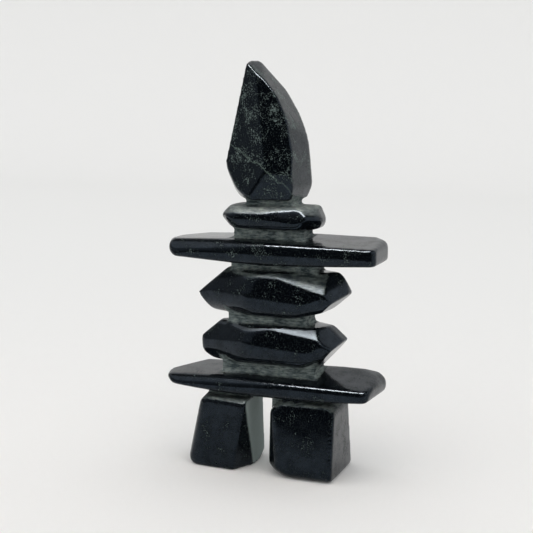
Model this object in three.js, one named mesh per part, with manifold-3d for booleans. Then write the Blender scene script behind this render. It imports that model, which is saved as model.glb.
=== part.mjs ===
// A cairn figure carved from one block of dark polished stone: eight stones stacked as a
// standing person, all one solid. Filed grooves between the stones leave short necks.
// Millimetres, +Z up, front towards -Y. The origin is on the floor under the middle.
import * as THREE from 'three';
import { mergeVertices } from 'three/addons/utils/BufferGeometryUtils.js';
import Module from 'manifold-3d';

const wasm = await Module();
wasm.setup();

// Driving dimensions.
const figureHeight = 200; // floor to the tip of the head
const neckDepth = 15; // front to back of every neck
const roughSize = 140; // the rough block each stone is cut from
const wasteSize = 400; // what is ground away at a flat

// Every stone is a rough block with flats ground on it. A flat is [turn, tilt, out]:
// turn 0 faces the front, 90 the right, 180 the back, -90 the left; tilt is degrees up;
// out is how far the flat lies from the stone's middle. Then the edges between the flats
// are eased: [turn, tilt, depth] takes that depth off whatever stands furthest out that
// way. The facets are ground last, so their edges stay sharp.
const stones = {
  head: {
    middle: [-5, 0, 160],
    flats: [
      [-80, 13.5, 18.2], [-60, -22, 23.2], [-50, -48, 27.2], // left, its jaw, under the jaw
      [72, 49, 26.6], [87, 40, 21.7], [89.5, 26, 17.5], [84.5, 12, 16.6], // down the right from the tip
      [85, -2, 18.1], [86, -18, 22.6], // right cheek and its undercut
      [177, 19, 14.6], [180, 3, 13.5], [180, -16, 17.3], // back, from the tip down to the neck
      [140, 10, 17.3], [220, 10, 14.8], // back right, back left
      [262, 14, 17.4], [240, -25, 20.9], // left, behind, and its jaw
      [0, 0, 17.5], [0, -90, 26], [0, 90, 40], // front of the rough block, underside, blunted tip
    ],
    eased: [
      [-78, 2, 0.5], [-70, -10, 0.5], [-55, -35, 0.6], // down the left edge
      [88, 33, 0.3], [87, 19, 0.3], [85, 5, 0.3], [60, -30, 1.2], [110, 5, 0.8], // down the right edge
      [180, 11, 0.5], [160, 10, 0.6], [200, 10, 0.6], [240, 5, 0.6], // round the back
    ],
    facets: [[6, 5.5, 14.9], [6, -16, 18.9], [-18.5, 2.2, 13.5]], // front, its undercut, front left
  },
  collar: {
    middle: [-2, 0, 125],
    flats: [
      [0, 52, 11.4], [0, 4, 15.4], [0, -32, 13.3], // front: bevel, face, underside
      [50, 0, 23.9], [55, 45, 18.2], [50, -40, 18.4], // front right corner and its bevels
      [93, 0, 27.6], [95, 35, 21], [90, -35, 21.4], // right end and its bevels
      [-50, 0, 25.2], [-50, 45, 18.5], [-50, -40, 18.4], // front left corner and its bevels
      [-90, 0, 27], [-90, 40, 20.6], [-90, -35, 21], // left end and its bevels
      [180, 0, 13.8], [180, 48, 10.6], [180, -35, 11.2], // back and its bevels
      [130, 0, 22], [230, 0, 20.9], // back corners
      [0, 90, 6.2], [0, -90, 5], // top, underside
    ],
    eased: [
      [0, -14, 0.4], [25, 0, 0.6], [-25, 0, 0.6], [-70, 0, 0.7], [70, 0, 0.7], // round the front
      [155, 0, 0.6], [205, 0, 0.6], [110, 0, 0.6], [250, 0, 0.6], // round the back
      [-70, 42, 0.5], [70, 42, 0.5], [-25, 50, 0.5], [25, 50, 0.5], // above
      [0, 70, 0.4], [-60, 65, 0.5], [60, 65, 0.5], // under the throat
      [-70, -38, 0.5], [70, -38, 0.5], [-25, -35, 0.5], [25, -35, 0.5], // below
    ],
    facets: [[6, 26, 14.1]], // front, between face and bevel
  },
  upperSlab: {
    middle: [0, 0, 110],
    flats: [
      [0, 6, 17.2], [0, -14, 17.1], [-4, 43, 14.4], [0, -45, 15.2], // front, from its ridge, and bevels
      [-80, 87.8, 5.9], [9, 84.5, 5.6], // top, falling to the left and to the front
      [-90, -86.5, 7.6], [90, -87, 7.4], // under the left arm, under the right arm
      [91, 0, 52.9], [90, -35, 46.5], [90, 45, 39.9], // right end and its bevels
      [45, 0, 47.9], [135, 0, 44.3], [130, 42, 36.3], // right corners, and a bevel behind
      [-90, 0, 54.3], [-90, 45, 41], [-90, -45, 39.6], // left end and its bevels
      [-45, 0, 47.4], [225, 0, 41.3], // left corners
      [180, 0, 15], [180, 40, 13.9], [180, -40, 13.2], // back and its bevels
    ],
    eased: [
      [-70, 0, 0.8], [-20, 0, 0.8], [-88, 22, 0.5], [-88, -22, 0.5], // left end
      [-60, 40, 1.5], [-60, -40, 1.2], // front left corner, above and below
      [112, 0, 0.7], [155, 0, 0.8], [92, 22, 0.4], [92, -18, 0.4], [120, -40, 1.0], // right end
      [-10, 28, 0.6], [0, 70, 0.5], [0, -68, 0.6], // front edges
      [250, 0, 0.8], [205, 0, 0.8], [180, 20, 0.5], [180, -20, 0.5], // back
      [230, -40, 1.2], [230, 42, 1.2], // back left corner
    ],
    facets: [],
  },
  upperBelly: {
    middle: [-3, 0, 89],
    flats: [
      [3, 15, 15.6], [0, -16, 16.1], [20, -24, 22.1], // front: above its ridge, below, lower right
      [-22, 26, 17.4], [-20, 8, 17.8], [-20, -16, 18.2], // left of the front, from the crest down
      [84, 48, 31.8], [84, 32, 35.2], [84, 19, 37], // right end, rounding over to its point
      [180, 16, 14.9], [180, -20, 14.6], // back, above the ridge and below it
      [215, 30, 17.9], [215, -25, 20.8], [150, 30, 21.8], [145, -38, 21.8], // corners of the back
      [0, 90, 10.9], [0, -90, 12], [90, -76, 14.8], // top, underside
    ],
    eased: [
      [1, -2, 0.7], [-10, 20, 0.6], [-20, 0, 0.7], // along the front ridge
      [-10, 5, 0.3], [-10, -16, 0.3], [-20, 17, 0.4], // between the flats left of the front
      [-8, 52, 1.5], [0, -40, 1.4], [0, -62, 0.8], [-20, -44, 2.2], [22, -48, 1.2], // above and below it
      [180, -2, 0.7], [200, 22, 0.7], [200, -22, 0.7], [180, 50, 1.5], [180, -50, 1.2], // back
    ],
    facets: [
      [12.5, 40.5, 16.4], [3.5, 38, 15.8], // crest, falling to the right
      [-80, 50, 22.9], [-80, -40, 31.6], [-80, -62, 25.3], // left point: above, below, under
      [60, 27, 30.7], [84, -48, 25.5], // right point: front, below
    ],
  },
  lowerBelly: {
    middle: [-3, 0, 63],
    flats: [
      [2, 11, 15.5], [0, -15, 15.2], [25, -24, 22.7], // front: above its ridge, below, lower right
      [-24, 26, 17.8], [-20, 4, 17.9], [-20, -15, 17.5], // left of the front, from the crest down
      [-90, 0, 37.6], // blunt left end
      [180, 18, 15.1], [180, -20, 14.3], // back, above the ridge and below it
      [215, 30, 18.9], [215, -25, 21], [150, 30, 21.8], [140, -38, 22.2], // corners of the back
      [0, 90, 10.4], [4, -84, 10.9], // top, underside
    ],
    eased: [
      [-3, -1, 0.6], [-10, 20, 0.6], [-20, -5, 0.6], // along the front ridge
      [-10, 8, 0.3], [-10, -14, 0.3], [-22, 15, 0.4], // between the flats left of the front
      [-12, 52, 1.5], [0, -38, 1.6], [0, -60, 1.0], [-22, -42, 2.0], // above and below it
      [180, -2, 0.7], [200, 22, 0.7], [200, -22, 0.7], [220, 0, 1.0], // back ridge and corner
      [180, 50, 1.5], [180, -50, 1.2], // above and below the back
    ],
    facets: [
      [8, 43, 16.4], [-82, 50, 24.9], [-84, -42, 32.8], // crest, left end above and below
      [60, 42.5, 26.5], [87, 48, 27.5], [88, -42, 25.2], // right point: front, above, below
      [40, -55, 18.9], // under, front right
    ],
  },
  hipSlab: {
    middle: [-2, 0, 42.5],
    flats: [
      [0, 0, 17.2], [-3, 45, 13.9], [0, -36, 14.9], // front: face, top bevel, underside
      [-34.6, 85, 6.55], [0, 79.5, 6.95], [90, 80, 16.2], // top, its slope to the front, its right
      [0, -90, 4.5], [-90, -85, 5.8], [90, -85, 6.2], // underside
      [86, -12, 52.2], [90, 50, 38.4], [45, 0, 47.8], [135, 0, 46.2], // right end, its bevel, corners
      [-90, 0, 55.2], [-90, 45, 41.2], [-90, -40, 40.9], // left end and its bevels
      [-45, 0, 47], [225, 0, 40], [240, 40, 36.8], // left corners, and a bevel behind
      [180, 0, 16.7], [180, 42, 13.6], [180, -40, 13.2], // back and its bevels
    ],
    eased: [
      [-70, 0, 0.8], [-20, 0, 0.8], [-88, 22, 0.5], [-88, -20, 0.5], // left end
      [-60, 42, 1.2], [-60, -40, 1.2], // front left corner, above and below
      [112, 0, 0.8], [155, 0, 0.8], [90, 25, 0.8], // right end
      [120, -40, 1.0], [130, 40, 1.2], [60, 40, 0.8], // right corners, above and below
      [0, 65, 0.4], [0, -62, 0.6], [180, 20, 0.5], [180, -20, 0.5], // front and back edges
      [250, 0, 0.8], [205, 0, 0.8], [230, -40, 1.2], // back left corner
    ],
    facets: [],
  },
  leftLeg: {
    middle: [-26, 0, 18],
    flats: [
      [-3, 1, 16.6], [-42, 8, 19.4], [-80, 13, 16.2], // front, its left corner, splayed outer side
      [-75, -45, 25.2], [-80, 45, 20], [0, 55, 23.2], // outer foot, its shoulder, top of the front
      [180, 6, 15], [225, 8, 16.5], [140, 4, 17], // back and its corners
      [180, 50, 21.5], [120, -45, 22.9], // top of the back, inner foot behind
      [0, 90, 18], [0, -90, 18], // top, sole
    ],
    eased: [
      [-22, 4, 0.6], [-60, 10, 0.6], [-40, 48, 1.0], [-2, -45, 0.6], [-40, -45, 0.6], // front
      [205, 7, 0.6], [160, 5, 0.6], [180, -45, 1.2], [230, -45, 1.0], // back
    ],
    facets: [[93, 0, 14.2], [63.6, -9.5, 17.5]], // sawn inner side, the bevel in front of it
  },
  rightLeg: {
    middle: [18, 0, 18],
    flats: [
      [1, 7.1, 17.2], [-42, 0, 22.2], [-86, 2, 19], // front, its left corner, inner side
      [91, 0, 15.5], [88, -45, 23.4], [90, 50, 22], // outer side, its foot, its top
      [180, 17, 16.8], [180, -12, 21.2], [138, 8, 19.6], [225, 5, 19], // back, its foot, its corners
      [0, 58, 23.3], [180, 50, 20.7], [-70, 50, 24], // top of the front, the back, the inner side
      [0, -45, 24.4], [-60, -50, 24.2], // front foot, inner foot
      [0, 90, 18.5], [0, -90, 18], // top, sole
    ],
    eased: [
      [0, 32, 0.4], [-20, 3, 0.5], [-64, 1, 0.6], [-30, -45, 1.2], [0, -68, 0.5], // front
      [160, 12, 0.8], [205, 10, 0.8], [180, -50, 1.2], [130, -45, 1.0], // back
    ],
    facets: [],
  },
};

// What the grooves leave between two stones: [left, right, bottom, top].
const necks = {
  throat: [-14.3, 9.2, 128, 137],
  chest: [-20.9, 15, 113, 122],
  ribs: [-22.6, 21, 98, 107],
  waist: [-24, 16.6, 72, 82],
  hips: [-27.5, 21.2, 46.5, 57],
  leftThigh: [-35, -14, 30, 42],
  rightThigh: [-1, 25, 30, 42],
};

function toManifold(geometry) {
  geometry.deleteAttribute('normal');
  geometry.deleteAttribute('uv');
  const merged = mergeVertices(geometry);
  return new wasm.Manifold(
    new wasm.Mesh({
      numProp: 3,
      vertProperties: new Float32Array(merged.attributes.position.array),
      triVerts: new Uint32Array(merged.index.array),
    }),
  );
}

function toGeometry(manifold) {
  const mesh = manifold.getMesh();
  const geometry = new THREE.BufferGeometry();
  geometry.setAttribute('position', new THREE.BufferAttribute(mesh.vertProperties, 3));
  geometry.setIndex(new THREE.BufferAttribute(mesh.triVerts, 1));
  return geometry;
}

function makeBlock(width, depth, height, middle) {
  const block = new THREE.BoxGeometry(width, depth, height);
  block.translate(...middle);
  return toManifold(block);
}

// The waste beyond one flat: a big box whose near face is the flat.
function makeWaste([turn, tilt, out], middle) {
  const waste = new THREE.BoxGeometry(wasteSize, wasteSize, wasteSize);
  waste.translate(0, -out - wasteSize / 2, 0);
  waste.rotateX(THREE.MathUtils.degToRad(-tilt));
  waste.rotateZ(THREE.MathUtils.degToRad(turn));
  waste.translate(...middle);
  return toManifold(waste);
}

function grind(stone, flat, middle) {
  return stone.subtract(makeWaste(flat, middle));
}

// How far the stone reaches from its middle in the direction a flat there would face.
function reach(stone, [turn, tilt], middle) {
  const facing = new THREE.Vector3(0, -1, 0);
  facing.applyAxisAngle(new THREE.Vector3(1, 0, 0), THREE.MathUtils.degToRad(-tilt));
  facing.applyAxisAngle(new THREE.Vector3(0, 0, 1), THREE.MathUtils.degToRad(turn));
  const corners = toGeometry(stone).attributes.position;
  const corner = new THREE.Vector3();
  let furthest = 0;
  for (let i = 0; i < corners.count; i += 1) {
    corner.fromBufferAttribute(corners, i);
    corner.sub(new THREE.Vector3(...middle));
    furthest = Math.max(furthest, corner.dot(facing));
  }
  return furthest;
}

function ease(stone, [turn, tilt, depth], middle) {
  const out = reach(stone, [turn, tilt], middle) - depth;
  return grind(stone, [turn, tilt, out], middle);
}

function makeStone({ middle, flats, eased, facets }) {
  const block = makeBlock(roughSize, roughSize, roughSize, middle);
  const rough = flats.reduce((stone, flat) => grind(stone, flat, middle), block);
  const worn = eased.reduce((stone, edge) => ease(stone, edge, middle), rough);
  return facets.reduce((stone, facet) => grind(stone, facet, middle), worn);
}

function makeNeck([left, right, bottom, top]) {
  const middle = [(left + right) / 2, 0, (bottom + top) / 2];
  return makeBlock(right - left, neckDepth, top - bottom, middle);
}

// All the stones and necks are one solid, as they were in the block.
const pieces = [...Object.values(stones).map(makeStone), ...Object.values(necks).map(makeNeck)];
const carving = pieces.reduce((whole, piece) => whole.add(piece));
const geometry = toGeometry(carving);

// Stand it on the floor, centred over the origin, at its full height.
geometry.computeBoundingBox();
const size = geometry.boundingBox.getSize(new THREE.Vector3());
const centre = geometry.boundingBox.getCenter(new THREE.Vector3());
geometry.translate(-centre.x, -centre.y, -geometry.boundingBox.min.z);
geometry.scale(1, 1, figureHeight / size.z);

const polishedStone = new THREE.MeshStandardMaterial({
  color: 0x1b2126,
  roughness: 0.15,
  metalness: 0,
});
const cairn = new THREE.Mesh(geometry, polishedStone);
cairn.name = 'carved_cairn';

const figure = new THREE.Group();
figure.add(cairn);

export default figure;
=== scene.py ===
# A carved cairn figure of dark polished stone, standing on a pale floor.
import math
import bpy
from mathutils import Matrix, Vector, noise


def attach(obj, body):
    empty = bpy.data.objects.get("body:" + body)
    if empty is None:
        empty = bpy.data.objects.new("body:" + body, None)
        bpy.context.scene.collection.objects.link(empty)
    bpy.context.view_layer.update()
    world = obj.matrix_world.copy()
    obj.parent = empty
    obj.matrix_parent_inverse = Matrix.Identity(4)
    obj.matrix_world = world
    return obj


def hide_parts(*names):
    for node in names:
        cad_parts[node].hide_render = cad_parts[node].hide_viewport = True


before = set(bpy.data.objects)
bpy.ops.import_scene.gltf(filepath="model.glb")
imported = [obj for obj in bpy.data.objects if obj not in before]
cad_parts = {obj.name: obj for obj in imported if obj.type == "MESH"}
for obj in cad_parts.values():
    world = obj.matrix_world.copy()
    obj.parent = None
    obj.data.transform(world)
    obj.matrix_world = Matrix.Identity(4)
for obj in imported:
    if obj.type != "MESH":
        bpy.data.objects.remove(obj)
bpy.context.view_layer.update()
print("CAD frame loaded")

mm = 0.001
# The middle of the rough block, in millimetres, which the stones are set out from.
blockAxis = Vector((1.91, -0.31, 0.0))


def hexToLinear(code, alpha=1.0):
    channels = [int(code[i:i + 2], 16) / 255 for i in (1, 3, 5)]
    linear = [c / 12.92 if c <= 0.04045 else ((c + 0.055) / 1.055) ** 2.4 for c in channels]
    return (*linear, alpha)


def startFresh():
    if bpy.context.mode != 'OBJECT':
        bpy.ops.object.mode_set(mode='OBJECT')
    bpy.ops.object.select_all(action='DESELECT')


def applyModifier(piece, kind, **settings):
    modifier = piece.modifiers.new(kind.title(), kind)
    for key, value in settings.items():
        setattr(modifier, key, value)
    bpy.context.view_layer.objects.active = piece
    bpy.ops.object.modifier_apply(modifier=modifier.name)


def flatNormal(turn, tilt):
    turn, tilt = math.radians(turn), math.radians(tilt)
    return Vector((math.sin(turn) * math.cos(tilt), -math.cos(turn) * math.cos(tilt), math.sin(tilt)))


# Each flat is (turn, tilt, out): turn 0 faces the front and 90 the right, tilt is degrees up,
# and out is how many millimetres the flat lies from the stone's middle.
# eased holds (turn, tilt, depth): how deep the file takes the furthest point that way.
# wear is how many smoothing passes the stone gets. Its facets are ground after them, so their
# edges stay crisp.
head = {
    "middle": (-5, 0, 160), "wear": 9,
    "flats": [
        (-80, 13.5, 18.2), (-60, -22, 23.2), (-50, -48, 27.2),  # left, its jaw, under the jaw
        (72, 49, 26.6), (87, 40, 21.7), (89.5, 26, 17.5), (84.5, 12, 16.6),  # right, from the tip
        (85, -2, 18.1), (86, -18, 22.6),  # right cheek and its undercut
        (177, 19, 14.6), (180, 3, 13.5), (180, -16, 17.3),  # back, from the tip down to the neck
        (140, 10, 17.3), (220, 10, 14.8),  # back right, back left
        (262, 14, 17.4), (240, -25, 20.9),  # left, behind, and its jaw
        (0, 0, 17.5), (0, -90, 26), (0, 90, 40),  # front of the rough block, underside, blunted tip
    ],
    "eased": [
        (-78, 2, 0.5), (-70, -10, 0.5), (-55, -35, 0.6),  # down the left edge
        (88, 33, 0.3), (87, 19, 0.3), (85, 5, 0.3), (60, -30, 1.2), (110, 5, 0.8),  # the right edge
        (180, 11, 0.5), (160, 10, 0.6), (200, 10, 0.6), (240, 5, 0.6),  # round the back
    ],
    "facets": [(6, 5.5, 14.9), (6, -16, 18.9), (-18.5, 2.2, 13.5)],  # front, its undercut, front left
}
collar = {
    "middle": (-2, 0, 125), "wear": 30,
    "flats": [
        (0, 52, 11.4), (0, 4, 15.4), (0, -32, 13.3),  # front: bevel, face, underside
        (50, 0, 23.9), (55, 45, 18.2), (50, -40, 18.4),  # front right corner and its bevels
        (93, 0, 27.6), (95, 35, 21), (90, -35, 21.4),  # right end and its bevels
        (-50, 0, 25.2), (-50, 45, 18.5), (-50, -40, 18.4),  # front left corner and its bevels
        (-90, 0, 27), (-90, 40, 20.6), (-90, -35, 21),  # left end and its bevels
        (180, 0, 13.8), (180, 48, 10.6), (180, -35, 11.2),  # back and its bevels
        (130, 0, 22), (230, 0, 20.9),  # back corners
        (0, 90, 6.2), (0, -90, 5),  # top, underside
    ],
    "eased": [
        (0, -14, 0.4), (25, 0, 0.6), (-25, 0, 0.6), (-70, 0, 0.7), (70, 0, 0.7),  # round the front
        (155, 0, 0.6), (205, 0, 0.6), (110, 0, 0.6), (250, 0, 0.6),  # round the back
        (-70, 42, 0.5), (70, 42, 0.5), (-25, 50, 0.5), (25, 50, 0.5),  # above
        (0, 70, 0.4), (-60, 65, 0.5), (60, 65, 0.5),  # under the throat
        (-70, -38, 0.5), (70, -38, 0.5), (-25, -35, 0.5), (25, -35, 0.5),  # below
    ],
    "facets": [(6, 26, 14.1)],  # front, between face and bevel
}
upperSlab = {
    "middle": (0, 0, 110), "wear": 8,
    "flats": [
        (0, 6, 17.2), (0, -14, 17.1), (-4, 43, 14.4), (0, -45, 15.2),  # front, its bevels
        (-80, 87.8, 5.9), (9, 84.5, 5.6),  # top, falling to the left and to the front
        (-90, -86.5, 7.6), (90, -87, 7.4),  # under the left arm, under the right arm
        (91, 0, 52.9), (90, -35, 46.5), (90, 45, 39.9),  # right end and its bevels
        (45, 0, 47.9), (135, 0, 44.3), (130, 42, 36.3),  # right corners, and a bevel behind
        (-90, 0, 54.3), (-90, 45, 41), (-90, -45, 39.6),  # left end and its bevels
        (-45, 0, 47.4), (225, 0, 41.3),  # left corners
        (180, 0, 15), (180, 40, 13.9), (180, -40, 13.2),  # back and its bevels
    ],
    "eased": [
        (-70, 0, 0.8), (-20, 0, 0.8), (-88, 22, 0.5), (-88, -22, 0.5),  # left end
        (-60, 40, 1.5), (-60, -40, 1.2),  # front left corner, above and below
        (112, 0, 0.7), (155, 0, 0.8), (92, 22, 0.4), (92, -18, 0.4), (120, -40, 1.0),  # right end
        (-10, 28, 0.6), (0, 70, 0.5), (0, -68, 0.6),  # front edges
        (250, 0, 0.8), (205, 0, 0.8), (180, 20, 0.5), (180, -20, 0.5),  # back
        (230, -40, 1.2), (230, 42, 1.2),  # back left corner
    ],
    "facets": [],
}
upperBelly = {
    "middle": (-3, 0, 89), "wear": 60,
    "flats": [
        (3, 15, 15.6), (0, -16, 16.1), (20, -24, 22.1),  # front: above its ridge, below, lower right
        (-22, 26, 17.4), (-20, 8, 17.8), (-20, -16, 18.2),  # left of the front, from the crest down
        (84, 48, 31.8), (84, 32, 35.2), (84, 19, 37),  # right end, rounding over to its point
        (180, 16, 14.9), (180, -20, 14.6),  # back, above the ridge and below it
        (215, 30, 17.9), (215, -25, 20.8), (150, 30, 21.8), (145, -38, 21.8),  # corners of the back
        (0, 90, 10.9), (0, -90, 12), (90, -76, 14.8),  # top, underside
    ],
    "eased": [
        (1, -2, 0.7), (-10, 20, 0.6), (-20, 0, 0.7),  # along the front ridge
        (-10, 5, 0.3), (-10, -16, 0.3), (-20, 17, 0.4),  # between the flats left of the front
        (-8, 52, 1.5), (0, -40, 1.4), (0, -62, 0.8), (-20, -44, 2.2), (22, -48, 1.2),  # above, below
        (180, -2, 0.7), (200, 22, 0.7), (200, -22, 0.7), (180, 50, 1.5), (180, -50, 1.2),  # back
    ],
    "facets": [
        (12.5, 40.5, 16.4), (3.5, 38, 15.8),  # crest, falling to the right
        (-80, 50, 22.9), (-80, -40, 31.6), (-80, -62, 25.3),  # left point: above, below, under
        (60, 27, 30.7), (84, -48, 25.5),  # right point: front, below
    ],
}
lowerBelly = {
    "middle": (-3, 0, 63), "wear": 60,
    "flats": [
        (2, 11, 15.5), (0, -15, 15.2), (25, -24, 22.7),  # front: above its ridge, below, lower right
        (-24, 26, 17.8), (-20, 4, 17.9), (-20, -15, 17.5),  # left of the front, from the crest down
        (-90, 0, 37.6),  # blunt left end
        (180, 18, 15.1), (180, -20, 14.3),  # back, above the ridge and below it
        (215, 30, 18.9), (215, -25, 21), (150, 30, 21.8), (140, -38, 22.2),  # corners of the back
        (0, 90, 10.4), (4, -84, 10.9),  # top, underside
    ],
    "eased": [
        (-3, -1, 0.6), (-10, 20, 0.6), (-20, -5, 0.6),  # along the front ridge
        (-10, 8, 0.3), (-10, -14, 0.3), (-22, 15, 0.4),  # between the flats left of the front
        (-12, 52, 1.5), (0, -38, 1.6), (0, -60, 1.0), (-22, -42, 2.0),  # above and below it
        (180, -2, 0.7), (200, 22, 0.7), (200, -22, 0.7), (220, 0, 1.0),  # back ridge and corner
        (180, 50, 1.5), (180, -50, 1.2),  # above and below the back
    ],
    "facets": [
        (8, 43, 16.4), (-82, 50, 24.9), (-84, -42, 32.8),  # crest, left end above and below
        (60, 42.5, 26.5), (87, 48, 27.5), (88, -42, 25.2),  # right point: front, above, below
        (40, -55, 18.9),  # under, front right
    ],
}
hipSlab = {
    "middle": (-2, 0, 42.5), "wear": 8,
    "flats": [
        (0, 0, 17.2), (-3, 45, 13.9), (0, -36, 14.9),  # front: face, top bevel, underside
        (-34.6, 85, 6.55), (0, 79.5, 6.95), (90, 80, 16.2),  # top, its slope to the front, its right
        (0, -90, 4.5), (-90, -85, 5.8), (90, -85, 6.2),  # underside
        (86, -12, 52.2), (90, 50, 38.4), (45, 0, 47.8), (135, 0, 46.2),  # right end, its bevel, corners
        (-90, 0, 55.2), (-90, 45, 41.2), (-90, -40, 40.9),  # left end and its bevels
        (-45, 0, 47), (225, 0, 40), (240, 40, 36.8),  # left corners, and a bevel behind
        (180, 0, 16.7), (180, 42, 13.6), (180, -40, 13.2),  # back and its bevels
    ],
    "eased": [
        (-70, 0, 0.8), (-20, 0, 0.8), (-88, 22, 0.5), (-88, -20, 0.5),  # left end
        (-60, 42, 1.2), (-60, -40, 1.2),  # front left corner, above and below
        (112, 0, 0.8), (155, 0, 0.8), (90, 25, 0.8),  # right end
        (120, -40, 1.0), (130, 40, 1.2), (60, 40, 0.8),  # right corners, above and below
        (0, 65, 0.4), (0, -62, 0.6), (180, 20, 0.5), (180, -20, 0.5),  # front and back edges
        (250, 0, 0.8), (205, 0, 0.8), (230, -40, 1.2),  # back left corner
    ],
    "facets": [],
}
leftLeg = {
    "middle": (-26, 0, 18), "wear": 10,
    "flats": [
        (-3, 1, 16.6), (-42, 8, 19.4), (-80, 13, 16.2),  # front, its left corner, splayed outer side
        (-75, -45, 25.2), (-80, 45, 20), (0, 55, 23.2),  # outer foot, its shoulder, top of the front
        (180, 6, 15), (225, 8, 16.5), (140, 4, 17),  # back and its corners
        (180, 50, 21.5), (120, -45, 22.9),  # top of the back, inner foot behind
        (0, 90, 18), (0, -90, 18),  # top, sole
    ],
    "eased": [
        (-22, 4, 0.6), (-60, 10, 0.6), (-40, 48, 1.0), (-2, -45, 0.6), (-40, -45, 0.6),  # front
        (205, 7, 0.6), (160, 5, 0.6), (180, -45, 1.2), (230, -45, 1.0),  # back
    ],
    "facets": [(93, 0, 14.2), (63.6, -9.5, 17.5)],  # sawn inner side, the bevel in front of it
}
rightLeg = {
    "middle": (18, 0, 18), "wear": 8,
    "flats": [
        (1, 7.1, 17.2), (-42, 0, 22.2), (-86, 2, 19),  # front, its left corner, inner side
        (91, 0, 15.5), (88, -45, 23.4), (90, 50, 22),  # outer side, its foot, its top
        (180, 17, 16.8), (180, -12, 21.2), (138, 8, 19.6), (225, 5, 19),  # back, its foot, its corners
        (0, 58, 23.3), (180, 50, 20.7), (-70, 50, 24),  # top of the front, the back, the inner side
        (0, -45, 24.4), (-60, -50, 24.2),  # front foot, inner foot
        (0, 90, 18.5), (0, -90, 18),  # top, sole
    ],
    "eased": [
        (0, 32, 0.4), (-20, 3, 0.5), (-64, 1, 0.6), (46, 2, 0.5),  # top of the front, its corners
        (-30, -45, 1.2), (0, -68, 0.5),  # front foot
        (160, 12, 0.8), (205, 10, 0.8), (180, -50, 1.2), (130, -45, 1.0),  # back
    ],
    "facets": [],
}
stones = {
    "head": head, "collar": collar, "upperSlab": upperSlab, "upperBelly": upperBelly,
    "lowerBelly": lowerBelly, "hipSlab": hipSlab, "leftLeg": leftLeg, "rightLeg": rightLeg,
}

# What the file leaves between two stones: left, right, bottom and top, in millimetres.
necks = {
    "throat": (-14.3, 9.2, 128, 137),
    "chest": (-20.9, 15, 113, 122),
    "ribs": (-22.6, 21, 98, 107),
    "waist": (-24, 16.6, 72, 82),
    "hips": (-27.5, 21.2, 46.5, 57),
    "leftThigh": (-35, -14, 30, 42),
    "rightThigh": (-1, 25, 30, 42),
}
carving = {
    "roughSize": 140,  # the rough block each stone is cut from
    "neckDepth": 15,
    "grain": 0.7,  # the mesh's spacing, in millimetres
    "lastGrain": 0.84,  # the same, once all is one block
    "blend": 4,  # smoothing passes once all is one block
    "softness": 0.5,  # how far one smoothing pass moves a point
    "quickWear": 3,
    "skewZ": 31,
    "skewX": 19,
    "weld": 0.000001,  # metres
}


def roughBlock(name, size, middle):
    startFresh()
    centre = (Vector(middle) + blockAxis) * mm
    bpy.ops.mesh.primitive_cube_add(size=1, location=centre, scale=[s * mm for s in size])
    bpy.ops.object.transform_apply(location=True, rotation=True, scale=True)
    block = bpy.context.active_object
    block.name = name
    return block, centre


def cutFlat(place, normal):
    bpy.ops.object.mode_set(mode='EDIT')
    bpy.ops.mesh.select_all(action='SELECT')
    bpy.ops.mesh.bisect(plane_co=place, plane_no=normal, use_fill=True, clear_outer=True,
                        threshold=carving["weld"])
    bpy.ops.object.mode_set(mode='OBJECT')


def turnPiece(piece, degrees, axis):
    startFresh()
    piece.select_set(True)
    bpy.context.view_layer.objects.active = piece
    bpy.ops.transform.rotate(value=math.radians(degrees), orient_axis=axis, center_override=(0, 0, 0))
    bpy.ops.object.transform_apply(location=True, rotation=True, scale=True)


# Skewed while it is remeshed, so that no flat lies along the grid and its edges come out even.
def remeshPiece(piece, grain, passes):
    turnPiece(piece, carving["skewZ"], 'Z')
    turnPiece(piece, carving["skewX"], 'X')
    applyModifier(piece, 'REMESH', mode='VOXEL', voxel_size=grain * mm)
    applyModifier(piece, 'SMOOTH', factor=carving["softness"], iterations=passes)
    turnPiece(piece, -carving["skewX"], 'X')
    turnPiece(piece, -carving["skewZ"], 'Z')


def grindStone(name, stone):
    block, centre = roughBlock(name, [carving["roughSize"]] * 3, stone["middle"])
    for turn, tilt, out in stone["flats"]:
        normal = flatNormal(turn, tilt)
        cutFlat(centre + normal * out * mm, normal)
    for turn, tilt, depth in stone["eased"]:
        normal = flatNormal(turn, tilt)
        furthest = max((v.co - centre).dot(normal) for v in block.data.vertices)
        cutFlat(centre + normal * (furthest - depth * mm), normal)
    passes = stone["wear"]
    remeshPiece(block, carving["grain"], passes)
    for turn, tilt, out in stone["facets"]:
        normal = flatNormal(turn, tilt)
        cutFlat(centre + normal * out * mm, normal)
    return block


def makeNeck(name, neck):
    left, right, bottom, top = neck
    size = (right - left, carving["neckDepth"], top - bottom)
    return roughBlock(name, size, ((left + right) / 2, 0, (bottom + top) / 2))[0]


blocks = [grindStone(name, stone) for name, stone in stones.items()]
print("stones ground")
blocks += [makeNeck(name, neck) for name, neck in necks.items()]
startFresh()
for block in blocks:
    block.select_set(True)
cairn = blocks[0]
bpy.context.view_layer.objects.active = cairn
bpy.ops.object.join()
remeshPiece(cairn, carving["lastGrain"], carving["blend"])
cairn.name = "carvedCairn"
startFresh()
cairn.select_set(True)
bpy.context.view_layer.objects.active = cairn
bpy.ops.object.shade_smooth()
print("cairn joined:", len(cairn.data.polygons), "faces")


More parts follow.
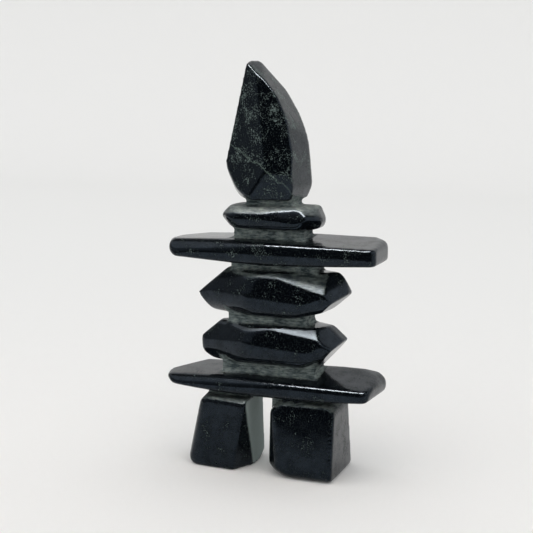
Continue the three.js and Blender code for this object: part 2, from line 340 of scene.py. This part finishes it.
# Where the tools left the stone matte: filed in the grooves, sawn between the legs. Lengths and
# heights are in millimetres; a facing is the part of the normal along an axis.
filing = {"reach": 1.2, "fade": 0.9, "sunk": 2.5, "wander": 0.7, "wanderSize": 1.4286}
slot = {"left": -15.5, "right": 4, "top": 37, "facing": 0.9, "blend": 0.08}
crests = {
    "hazy": (54, 78), "filed": (88, 101), "facing": -0.5,
    "tilt": 0.65, "core": 0.06, "fade": 0.1, "worn": 0.45,
}
shoulders = {"legs": (34, 41), "collar": (122, 134), "facing": 0.55, "blend": 0.2, "worn": 0.75}


def clamp(amount):
    return min(1.0, max(0.0, amount))


def filedAmount(point):
    place = point / mm - blockAxis
    ragged = filing["wander"] * noise.noise(point / (filing["wanderSize"] * mm))
    amount = 0.0
    for left, right, bottom, top in necks.values():
        aside = max(left - place.x, place.x - right, abs(place.y) - carving["neckDepth"] / 2)
        above = max(bottom - place.z, place.z - top) + filing["sunk"]
        amount = max(amount, 1 - (max(aside, above) + ragged - filing["reach"]) / filing["fade"])
    return clamp(amount)


def sawnAmount(point, normal):
    place = point / mm - blockAxis
    if place.z > slot["top"] or not slot["left"] < place.x < slot["right"]:
        return 0.0
    return clamp((abs(normal.x) - slot["facing"]) / slot["blend"])


# The bellies' crests were ground with a coarser stone: the lower is hazy, the upper partly dulled.
def crestAmount(point, normal, zone):
    bottom, top = crests[zone]
    if not bottom * mm < point.z < top * mm or normal.y > crests["facing"]:
        return 0.0
    return clamp(1 - (abs(normal.z - crests["tilt"]) - crests["core"]) / crests["fade"])


# The tops of the legs and of the collar were never polished.
def shoulderAmount(point, normal):
    zones = shoulders["legs"], shoulders["collar"]
    if not any(bottom * mm < point.z < top * mm for bottom, top in zones):
        return 0.0
    return clamp((normal.z - shoulders["facing"]) / shoulders["blend"])


def dulledAmount(point, normal):
    return max(filedAmount(point), crests["worn"] * crestAmount(point, normal, "filed"),
               shoulders["worn"] * shoulderAmount(point, normal))


def hazedAmount(point, normal):
    return crestAmount(point, normal, "hazy")


def markStone(name, amount):
    mark = cairn.data.attributes.new(name, 'FLOAT', 'POINT')
    mark.data.foreach_set("value", [amount(v.co, v.normal) for v in cairn.data.vertices])


markStone("filed", dulledAmount)
markStone("sawn", sawnAmount)
markStone("hazed", hazedAmount)
print("matte places marked")


def addNode(tree, kind, settings=None, links=None):
    node = tree.nodes.new(kind)
    for key, value in (settings or {}).items():
        if isinstance(key, int) or key in node.inputs:
            node.inputs[key].default_value = value
        else:
            setattr(node, key, value)
    for key, socket in (links or {}).items():
        tree.links.new(socket, node.inputs[key])
    return node


def newMaterial(name):
    material = bpy.data.materials.new(name)
    material.use_nodes = True
    tree = material.node_tree
    tree.nodes.clear()
    return material, tree


# A colour or a number is set on the socket, and another socket is linked to it.
def feed(tree, socket, value):
    if isinstance(value, str):
        socket.default_value = hexToLinear(value)
    elif isinstance(value, float):
        socket.default_value = value
    else:
        tree.links.new(value, socket)


def combine(tree, operation, *terms):
    node = addNode(tree, "ShaderNodeMath", {"operation": operation})
    for socket, term in zip(node.inputs, terms):
        feed(tree, socket, term)
    return node.outputs["Value"]


def remap(tree, value, given, wanted):
    settings = {"From Min": given[0], "From Max": given[1], "To Min": wanted[0], "To Max": wanted[1]}
    return addNode(tree, "ShaderNodeMapRange", settings, {"Value": value}).outputs["Result"]


mixSockets = {'FLOAT': (2, 3, 0), 'RGBA': (6, 7, 2)}  # first input, second input and output of a mix


def blend(tree, kind, factor, first, second):
    node = addNode(tree, "ShaderNodeMix", {"data_type": kind}, {"Factor": factor})
    low, high, result = mixSockets[kind]
    feed(tree, node.inputs[low], first)
    feed(tree, node.inputs[high], second)
    return node.outputs[result]


# How often a pattern of this size, in millimetres, repeats in a metre.
def perMetre(size):
    return 1 / (size * mm)


def noisePattern(tree, place, pattern, output="Fac"):
    size, detail, rough = pattern
    settings = {"Scale": perMetre(size), "Detail": detail, "Roughness": rough}
    return addNode(tree, "ShaderNodeTexNoise", settings, {"Vector": place}).outputs[output]


# Each pattern is its size in millimetres, its detail and its roughness. Heights, such as where the
# head starts, are in metres, and headGrains and bodyGrains are how much thicker the clouds get there.
polish = {
    "clouds": (7.143, 4, 0.65), "grains": (0.625, 2, 0.5), "hollows": (10.526, 1, 0.4),
    "headStarts": (0.125, 0.15), "headGrains": 0.085,
    "bodyFades": (0.03, 0.13), "bodyGrains": -0.05,
    "speckles": (1.14, 1.45), "speckled": 0.7, "faint": (0.5, 0.8), "faintest": 0.06,
    "stone": "#04060a", "grain": "#7b8a86", "sawn": "#889390", "tint": "#cae4ff",
    "polished": 0.13, "speckledRough": 0.24, "hazed": 0.42, "matte": 0.72,
    "thick": (0.85, 1.2), "shine": (0.44, 0.15), "feetEnd": (0.034, 0.042), "feetShine": -0.07,
    "hazedShine": 0.14, "hollowDepth": 0.0005, "hollowStrength": 0.4,
}
vein = {
    "wander": (7.692, 5, 0.7), "sway": 0.006, "facing": (0.55, 0.35, 0.76), "out": 0.1127,
    "edges": (0.0001, 0.00055), "strength": 4.2, "colour": "#93a79b",
}
strokes = {
    "length": 3.846, "width": 0.7692, "detail": 4, "rough": 0.6, "dust": (0.84, 1.24),
    "dark": "#2b3332", "pale": "#7c8581", "depth": 0.0001,
}


def polishedSerpentine():
    # Serpentine, ground flat and wax polished: almost black, freckled with pale green-grey grains.
    material, tree = newMaterial("polishedSerpentine")
    place = addNode(tree, "ShaderNodeTexCoord").outputs["Object"]
    filed, sawn, hazed = (addNode(tree, "ShaderNodeAttribute", {"attribute_name": name}).outputs["Fac"]
                          for name in ("filed", "sawn", "hazed"))

    # Grains of 0.4 to 1 mm, gathered in clouds 8 to 15 mm across, thickest in the head.
    clouds = noisePattern(tree, place, polish["clouds"])
    height = addNode(tree, "ShaderNodeSeparateXYZ", None, {"Vector": place}).outputs["Z"]
    upHead = remap(tree, height, polish["headStarts"], (0.0, polish["headGrains"]))
    body = remap(tree, height, polish["bodyFades"], (polish["bodyGrains"], 0.0))
    inBody = combine(tree, 'ADD', clouds, body)
    thickness = combine(tree, 'ADD', inBody, upHead)
    grains = noisePattern(tree, place, polish["grains"])
    together = combine(tree, 'ADD', grains, thickness)
    speckle = remap(tree, together, polish["speckles"], (0.0, polish["speckled"]))
    faint = remap(tree, grains, polish["faint"], (0.0, polish["faintest"]))
    allGrains = combine(tree, 'MAXIMUM', speckle, faint)
    freckled = blend(tree, 'RGBA', allGrains, polish["stone"], polish["grain"])

    # One pale vein, up to 1 mm thick, runs through the head and down to its right.
    wander = noisePattern(tree, place, vein["wander"], "Color")
    sway = (vein["sway"],) * 3
    wandering = addNode(tree, "ShaderNodeVectorMath", {"operation": 'MULTIPLY_ADD', 1: sway},
                        {0: wander, 2: place}).outputs["Vector"]
    across = addNode(tree, "ShaderNodeVectorMath", {"operation": 'DOT_PRODUCT', 1: vein["facing"]},
                     {0: wandering}).outputs["Value"]
    fromVein = combine(tree, 'SUBTRACT', across, vein["out"])
    offVein = combine(tree, 'ABSOLUTE', fromVein)
    veinLine = remap(tree, offVein, vein["edges"], (vein["strength"], 0.0))
    inHead = combine(tree, 'MULTIPLY', veinLine, upHead)
    brokenVein = combine(tree, 'MULTIPLY', inHead, grains)
    veined = blend(tree, 'RGBA', brokenVein, freckled, vein["colour"])

    # File strokes run along the grooves, under 1 mm apart, and leave paler stone dust in them.
    along, between = perMetre(strokes["length"]), perMetre(strokes["width"])
    stroke = addNode(tree, "ShaderNodeMapping", {"Scale": (along, along, between)},
                     {"Vector": place}).outputs["Vector"]
    strokeLines = addNode(tree, "ShaderNodeTexNoise",
                          {"Scale": 1, "Detail": strokes["detail"], "Roughness": strokes["rough"]},
                          {"Vector": stroke}).outputs["Fac"]
    dusty = combine(tree, 'ADD', strokeLines, clouds)
    dust = remap(tree, dusty, strokes["dust"], (0.0, 1.0))
    groove = blend(tree, 'RGBA', dust, strokes["dark"], strokes["pale"])
    filedColour = blend(tree, 'RGBA', filed, veined, groove)
    sawnColour = blend(tree, 'RGBA', sawn, filedColour, polish["sawn"])

    # Polished places are smooth, the lower crest is hazy, and what was filed or sawn is matte.
    dulled = combine(tree, 'MAXIMUM', filed, sawn)
    smooth = remap(tree, speckle, (0.0, 1.0), (polish["polished"], polish["speckledRough"]))
    hazy = blend(tree, 'FLOAT', hazed, smooth, polish["hazed"])
    roughness = blend(tree, 'FLOAT', dulled, hazy, polish["matte"])

    # The file bites about 0.1 mm; the polish leaves faint hollows some 10 mm across.
    bite = addNode(tree, "ShaderNodeBump", {"Distance": strokes["depth"]},
                   {"Height": strokeLines, "Strength": dulled}).outputs["Normal"]
    hollows = noisePattern(tree, place, polish["hollows"])
    surface = addNode(tree, "ShaderNodeBump",
                      {"Strength": polish["hollowStrength"], "Distance": polish["hollowDepth"]},
                      {"Height": hollows, "Normal": bite}).outputs["Normal"]

    # The polish takes less well where the grains are thick, and on the legs.
    # The hazy crest shines most.
    gloss = remap(tree, together, polish["thick"], polish["shine"])
    bodyGloss = combine(tree, 'ADD', gloss, body)
    feet = remap(tree, height, polish["feetEnd"], (polish["feetShine"], 0.0))
    footGloss = combine(tree, 'ADD', bodyGloss, feet)
    rubbed = combine(tree, 'MULTIPLY_ADD', hazed, polish["hazedShine"], footGloss)

    settings = {"IOR": 1.5, "Specular Tint": hexToLinear(polish["tint"])}
    shader = addNode(tree, "ShaderNodeBsdfPrincipled", settings, {
        "Base Color": sawnColour, "Roughness": roughness,
        "Specular IOR Level": rubbed, "Normal": surface,
    })
    addNode(tree, "ShaderNodeOutputMaterial", None, {"Surface": shader.outputs["BSDF"]})
    return material


cairn.data.materials.clear()
cairn.data.materials.append(polishedSerpentine())
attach(cairn, "root")
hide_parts("carved_cairn")
print("stone finished")


# A pale sweep: floor, curve and back wall.
sweep = {
    "width": 6.0, "front": -2.0, "back": 1.6, "curve": 0.5, "height": 2.6, "steps": 16,
    "colour": "#efefee", "roughness": 0.9, "specular": 0.2,
}
nearEnough = 0.001  # metres


def makeSweep():
    startFresh()
    bpy.ops.mesh.primitive_plane_add(size=1, location=(0, 0, 0))
    floor = bpy.context.active_object
    floor.name = "paleSweep"
    floor.scale = (sweep["width"], sweep["back"] - sweep["front"], 1)
    floor.location = (0, (sweep["back"] + sweep["front"]) / 2, 0)
    bpy.ops.object.transform_apply(location=True, rotation=True, scale=True)
    bpy.ops.object.mode_set(mode='EDIT')
    bpy.ops.mesh.select_all(action='DESELECT')
    bpy.ops.object.mode_set(mode='OBJECT')
    for edge in floor.data.edges:
        ends = [floor.data.vertices[i].co for i in edge.vertices]
        edge.select = all(abs(end.y - sweep["back"]) < nearEnough for end in ends)
    bpy.ops.object.mode_set(mode='EDIT')
    bpy.ops.mesh.select_mode(type='EDGE')
    for step in range(sweep["steps"]):
        angle = (step + 0.5) / sweep["steps"] * math.pi / 2
        length = sweep["curve"] * math.pi / 2 / sweep["steps"]
        move = (0, math.cos(angle) * length, math.sin(angle) * length)
        bpy.ops.mesh.extrude_region_move(TRANSFORM_OT_translate={"value": move})
    bpy.ops.mesh.extrude_region_move(TRANSFORM_OT_translate={"value": (0, 0, sweep["height"])})
    bpy.ops.object.mode_set(mode='OBJECT')
    bpy.ops.object.shade_smooth()
    material, tree = newMaterial("paintedSweep")
    shader = addNode(tree, "ShaderNodeBsdfPrincipled", {
        "Base Color": hexToLinear(sweep["colour"]), "Roughness": sweep["roughness"],
        "Specular IOR Level": sweep["specular"],
    })
    addNode(tree, "ShaderNodeOutputMaterial", None, {"Surface": shader.outputs["BSDF"]})
    floor.data.materials.append(material)
    return floor


floor = makeSweep()

# The unlit room in front is dark to the middle and right and grey to the left. A strip light hangs
# over the front. Only reflections see these cards. Sizes and places are in metres.
cards = {
    "floorEdge": {
        "size": (5.0, 1.05), "centre": (0, -0.77, 0.002), "lean": 0, "turn": 0,
        "glow": 0.0, "leftGlow": 0.3, "colour": "#ffffff",
    },
    "darkRoom": {
        "size": (5.0, 1.5), "centre": (0, -1.3, 0.75), "lean": 90, "turn": 0,
        "glow": 0.0, "leftGlow": 0.34, "colour": "#ffffff",
    },
    "leftWall": {
        "size": (3.6, 1.5), "centre": (-2.4, 0.2, 0.75), "lean": 90, "turn": 90,
        "glow": 0.3, "leftGlow": 0.3, "colour": "#ffffff",
    },
    "ledStrip": {
        "size": (0.5, 0.21), "centre": (0.03, -0.19, 0.62), "lean": 0, "turn": 0,
        "glow": 56.0, "leftGlow": 56.0, "colour": "#ffeedd",
    },
    "ceiling": {
        "size": (1.2, 0.36), "centre": (0, 0.1, 0.63), "lean": 0, "turn": 0,
        "glow": 0.1, "leftGlow": 0.1, "colour": "#ffffff",
    },
}
leftEdge = (-0.8, -0.5)  # between these, in metres, the room goes from grey to dark


def makeCard(name, card):
    startFresh()
    lean = (math.radians(card["lean"]), 0, math.radians(card["turn"]))
    bpy.ops.mesh.primitive_plane_add(size=1, location=card["centre"], rotation=lean)
    board = bpy.context.active_object
    board.name = name
    board.scale = (*card["size"], 1)
    bpy.ops.object.transform_apply(location=True, rotation=True, scale=True)
    material, tree = newMaterial(name + "Glow")
    place = addNode(tree, "ShaderNodeTexCoord").outputs["Object"]
    across = addNode(tree, "ShaderNodeSeparateXYZ", None, {"Vector": place}).outputs["X"]
    glow = addNode(tree, "ShaderNodeMapRange", {
        "interpolation_type": 'SMOOTHSTEP', "From Min": leftEdge[0], "From Max": leftEdge[1],
        "To Min": card["leftGlow"], "To Max": card["glow"],
    }, {"Value": across})
    shader = addNode(tree, "ShaderNodeEmission", {"Color": hexToLinear(card["colour"])},
                     {"Strength": glow.outputs["Result"]})
    addNode(tree, "ShaderNodeOutputMaterial", None, {"Surface": shader.outputs["Emission"]})
    board.data.materials.append(material)
    board.visible_camera = False
    board.visible_diffuse = False
    board.visible_shadow = False
    board.visible_transmission = False


for name, card in cards.items():
    makeCard(name, card)

world = bpy.data.worlds.new("softRoom")
bpy.context.scene.world = world
world.use_nodes = True
world.node_tree.nodes.clear()
sky = addNode(world.node_tree, "ShaderNodeBackground", {"Color": (1, 1, 1, 1), "Strength": 1.0})
addNode(world.node_tree, "ShaderNodeOutputWorld", None, {"Surface": sky.outputs["Background"]})
bpy.context.scene.view_settings.view_transform = 'Standard'
print("studio lit")

# The camera stands a little to the right of the front and looks slightly down. Millimetres and
# degrees; the nearest clip is in metres.
view = {
    "turn": 22, "rise": 8.7, "distance": 528, "target": (-6.6, 0, 100.4),
    "lens": 72.6, "sensor": 36, "nearest": 0.01,
}


def makeCamera():
    away = flatNormal(view["turn"], view["rise"])
    target = (Vector(view["target"]) + blockAxis) * mm
    data = bpy.data.cameras.new("studioCamera")
    data.lens = view["lens"]
    data.sensor_width = view["sensor"]
    data.clip_start = view["nearest"]
    camera = bpy.data.objects.new("studioCamera", data)
    bpy.context.scene.collection.objects.link(camera)
    camera.location = target + away * view["distance"] * mm
    camera.rotation_euler = (-away).to_track_quat('-Z', 'Y').to_euler()
    bpy.context.scene.camera = camera


makeCamera()
